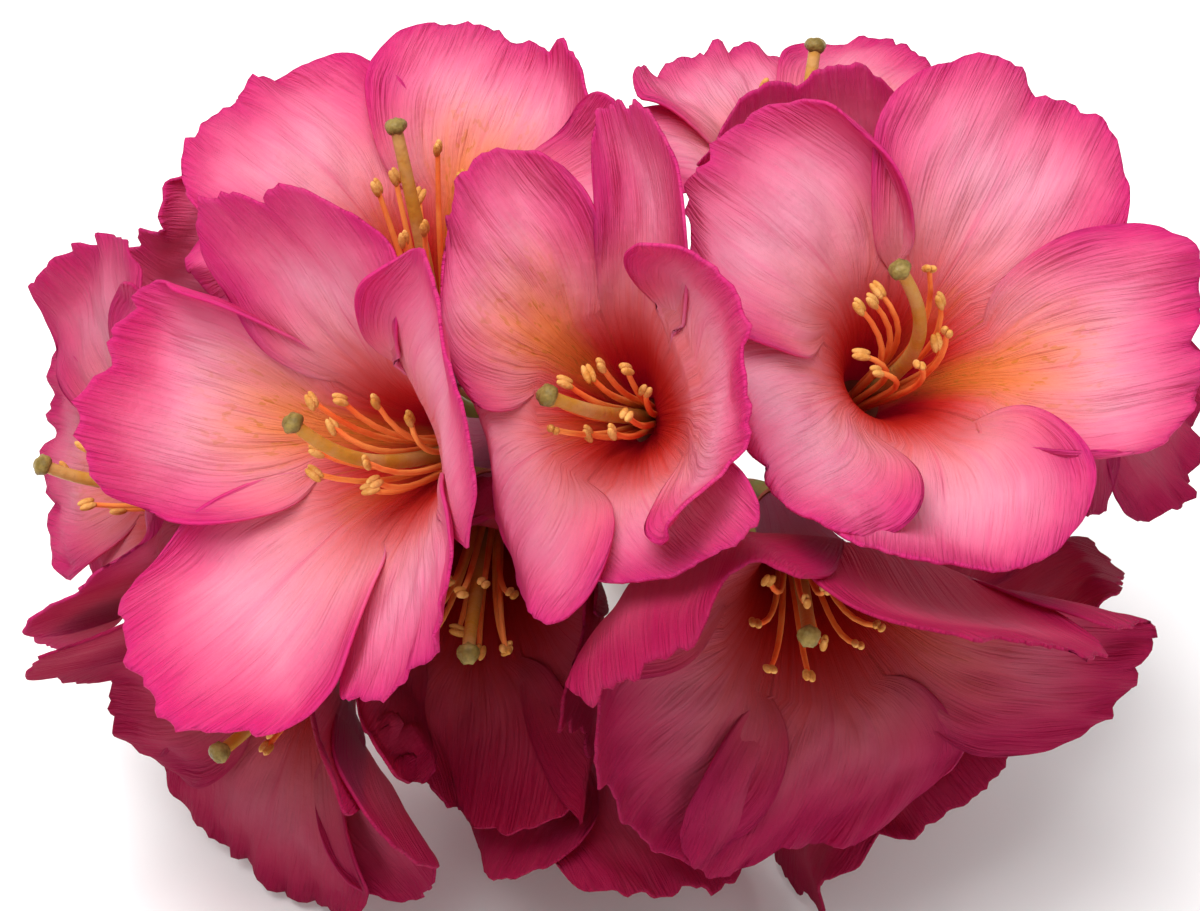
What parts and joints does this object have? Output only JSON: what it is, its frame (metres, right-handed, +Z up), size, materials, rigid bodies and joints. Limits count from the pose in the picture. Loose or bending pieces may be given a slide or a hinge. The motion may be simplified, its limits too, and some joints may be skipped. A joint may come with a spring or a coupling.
{
  "type": "cut rhododendron flower head",
  "caption": "Rounded head of wide, frilled, funnel-shaped pink blooms on slender stalks around the tip of a short cut stem, lying on its side.",
  "frame": {"origin": "on the ground, under the middle of the head's bounding box", "axes": "+Z up, +Y towards the back where the cut stem lies, +X to the right as the face of the head is seen"},
  "size_m": [0.187, 0.154, 0.1453],
  "materials": {
    "stem": "matt green-brown bark",
    "petal": "satin, pale peach-pink centres deepening to crimson frilled margins",
    "pistil": "satin yellow-olive style, orange-red filaments, tan anthers",
    "stalk": "matt green, flushed with red"
  },
  "bodies": {
    "root": {"stem": "stem", "corolla_left": "petal", "pistil_left": "pistil", "stalk_left": "stalk", "corolla_middle": "petal", "pistil_middle": "pistil", "stalk_middle": "stalk", "corolla_right": "petal", "pistil_right": "pistil", "stalk_right": "stalk", "corolla_upper_left": "petal", "pistil_upper_left": "pistil", "stalk_upper_left": "stalk", "corolla_upper_right": "petal", "pistil_upper_right": "pistil", "stalk_upper_right": "stalk", "corolla_lower_right": "petal", "pistil_lower_right": "pistil", "stalk_lower_right": "stalk", "corolla_lower_middle": "petal", "pistil_lower_middle": "pistil", "stalk_lower_middle": "stalk", "corolla_lower_left": "petal", "pistil_lower_left": "pistil", "stalk_lower_left": "stalk", "corolla_far_left": "petal", "pistil_far_left": "pistil", "stalk_far_left": "stalk", "corolla_far_right": "petal", "pistil_far_right": "pistil", "stalk_far_right": "stalk", "corolla_under": "petal", "pistil_under": "pistil", "stalk_under": "stalk", "corolla_under_right": "petal", "pistil_under_right": "pistil", "stalk_under_right": "stalk", "corolla_back_left": "petal", "pistil_back_left": "pistil", "stalk_back_left": "stalk", "corolla_back_right": "petal", "pistil_back_right": "pistil", "stalk_back_right": "stalk"}
  },
  "joints": []
}
